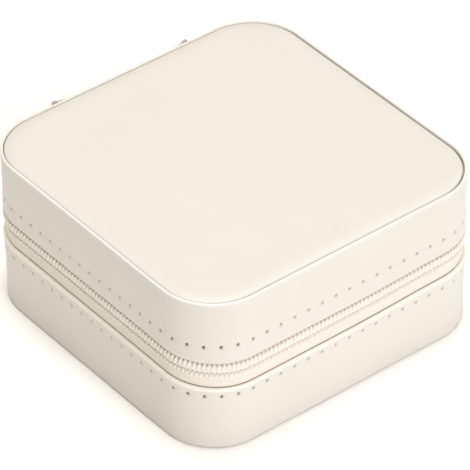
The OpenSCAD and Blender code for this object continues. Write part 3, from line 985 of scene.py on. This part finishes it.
# Lid inside: straps, studs and the gathered pocket
def makeStudCap(i):  # pressed dome with a rolled rim
    node = f"stud_cap_{i}"
    low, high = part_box(node)
    centre = (low + high) / 2
    radius = high.x - centre.x
    domed = ((0, 0), (0.45, 0.04), (0.72, 0.22), (0.8, 0.3), (0.88, 0.22), (0.97, 0.28), (1, 0.42))  # share, mm
    profile = [(radius * share, low.z + up * mm) for share, up in domed] + [(radius * 0.96, high.z), (0, high.z)]
    bm = bmesh.new()
    verts = [bm.verts.new((centre.x + r, centre.y, z)) for r, z in profile]
    edges = [bm.edges.new(pair) for pair in zip(verts, verts[1:])]
    bmesh.ops.spin(bm, geom=verts + edges, axis=(0, 0, 1), cent=centre, angle=2 * math.pi, steps=40, use_merge=True)
    bmesh.ops.remove_doubles(bm, verts=bm.verts, dist=weld / 2)
    bmesh.ops.recalc_face_normals(bm, faces=bm.faces)
    made = finishPiece(f"studCap{i}", bm, "metal", f"strap_{i}")
    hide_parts(node)


for number in (1, 2, 3):
    softCopy(f"necklaceStrap{number}", f"necklace_strap_{number}", 0.25 * mm, f"strap_{number}", "leatherette", 3)
softCopy("strapAnchors", "strap_anchors", 0.3 * mm, "lid", "leatherette", 3)
softCopy("studPosts", "stud_posts", 0.2 * mm, "lid", "metal", 3)
for number in (1, 2, 3):
    makeStudCap(number)

pocket = {
    "pleats": 26,
    "pleatDeep": 0.55 * mm,
    "gatherRun": 11 * mm,  # how far the gathers reach in from the mouth
    "mouthRise": 0.5 * mm,
    "cloth": 0.45 * mm,
    "side": 5 * mm,  # how wide the turned-up edge is
}


def makePocket():
    low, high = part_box("lid_pocket")
    radius = cornerR - (halfW - high.x)
    drop = high.z - low.z - pocket["cloth"]
    bm = bmesh.new()
    bmesh.ops.create_grid(bm, x_segments=180, y_segments=60, size=0.5)
    for v in bm.verts:
        across = v.co.x * 2
        y = low.y + (v.co.y + 0.5) * (high.y - low.y)
        past = max(0.0, y - (halfD - cornerR))
        halfWide = halfW - cornerR + math.sqrt(max(0.0, radius ** 2 - past ** 2))
        x = across * halfWide
        edge = min(halfWide - abs(x), high.y - y)
        rise = 1 - min(1.0, edge / pocket["side"])
        gather = math.exp(-(y - low.y) / pocket["gatherRun"])
        stray = 0.8 * noise.noise(Vector((x, y, 0)) / (9 * mm))
        pleat = pocket["pleatDeep"] * (0.25 + 0.75 * gather) * math.sin(across * math.pi * pocket["pleats"] + stray)
        z = high.z - drop * (1 - rise ** 3) + (pleat + pocket["mouthRise"] * gather) * (1 - rise)
        v.co = Vector((x, y, z))
    bmesh.ops.recalc_face_normals(bm, faces=bm.faces)
    made = finishPiece("lidPocket", bm, "velvet", "lid", 80)
    cloth = made.modifiers.new("cloth", "SOLIDIFY")
    cloth.thickness = pocket["cloth"]
    cloth.offset = 1
    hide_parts("lid_pocket")


makePocket()


def makeElastic():  # the sleeve over the elastic is drawn in at each gather
    low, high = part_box("pocket_elastic")
    gather, steps = 1.7 * mm, 300
    section = boxProfile(0, high.y - low.y, 0, high.z - low.z, [0.6 * mm] * 4)
    bm = bmesh.new()
    verts = [bm.verts.new((low.x, low.y + y, low.z + z)) for y, z in section]
    geom = verts + [bm.edges.new(pair) for pair in zip(verts, verts[1:] + verts[:1])]
    bmesh.ops.spin(bm, geom=geom, axis=(0, 0, 1), cent=(0, 0, 0), angle=0, steps=steps,
                   dvec=((high.x - low.x) / steps, 0, 0))
    bmesh.ops.remove_doubles(bm, verts=bm.verts, dist=weld / 2)
    bmesh.ops.holes_fill(bm, edges=[e for e in bm.edges if e.is_boundary], sides=0)
    middle = (low + high) / 2
    for v in bm.verts:
        squeeze = 0.9 + 0.1 * math.sin(v.co.x / gather * 2 * math.pi)
        v.co.y = middle.y + (v.co.y - middle.y) * squeeze
        v.co.z = middle.z + (v.co.z - middle.z) * squeeze
    bmesh.ops.recalc_face_normals(bm, faces=bm.faces)
    piece = finishPiece("pocketElastic", bm, "elastic", "lid")
    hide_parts("pocket_elastic")


makeElastic()
print("lid inside made")


# Lining across the fold
foldLining = {"depth": 1.75 * mm, "cloth": 0.35 * mm, "halfHigh": 5 * mm, "short": 3 * mm}


def makeFoldLining():
    half = runW / 2 - foldLining["short"]
    bm = bmesh.new()
    bmesh.ops.create_grid(bm, x_segments=40, y_segments=50, size=0.5)
    for v in bm.verts:
        z = zipZ + v.co.y * 2 * foldLining["halfHigh"]
        v.co = Vector((v.co.x * 2 * half, halfD - foldLining["depth"], z))
    liftFaces(bm, list(bm.faces), (0, -foldLining["cloth"], 0))
    made = finishPiece("foldLining", bm, "velvet")
    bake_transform(made)


makeFoldLining()

# CAD nodes that stay take their slot's finish
for entry in frame["record"]["subparts"]:
    kept = frame["nodes"][entry["node"]]
    kept.data.materials.clear()
    kept.data.materials.append(looks[entry["material_slot"]])


# Floor and light
studio = {
    "floor": "#fbfaf8",
    "floorHalf": 6.0,
    "world": "#fff7dd",
    "worldStrength": 0.35,
    "lightDistance": 3.0,
    "lightSize": 1.6,
    "lights": {  # direction, watts, colour
        "frontLight": ((-0.15, -1.0, 0.5), 52.5, "#faf8ff"),
        "keyLight": ((0.8, -0.85, 0.6), 3.0, "#fffdff"),
        "topLight": ((0.05, 0.1, 1.0), 75.5, "#ffffff"),
    },
}


def makeFloor():
    bm = bmesh.new()
    bmesh.ops.create_grid(bm, x_segments=1, y_segments=1, size=studio["floorHalf"])
    mesh = bpy.data.meshes.new("floor")
    bm.to_mesh(mesh)
    bm.free()
    floor = bpy.data.objects.new("floor", mesh)
    scene.collection.objects.link(floor)
    paper, tree, shader = startMaterial("paperSweep")  # uncoated paper, so it is matt
    feed(tree, shader, {"Base Color": studio["floor"], "Roughness": 0.9})
    mesh.materials.append(paper)


def addLight(name, towards, power, colour):
    data = bpy.data.lights.new(name, "AREA")
    data.energy = power
    data.size = studio["lightSize"]
    data.color = toLinear(colour)[:3]
    made = bpy.data.objects.new(name, data)
    scene.collection.objects.link(made)
    made.location = Vector(towards).normalized() * studio["lightDistance"]
    made.rotation_euler = Vector(towards).to_track_quat("Z", "Y").to_euler()


makeFloor()
for lightName, values in studio["lights"].items():
    addLight(lightName, *values)
world = bpy.data.worlds.new("studio")
world.use_nodes = True
feed(world.node_tree, world.node_tree.nodes["Background"],
     {"Color": studio["world"], "Strength": studio["worldStrength"]})
scene.world = world
scene.view_settings.view_transform = "Standard"
print("studio lit")
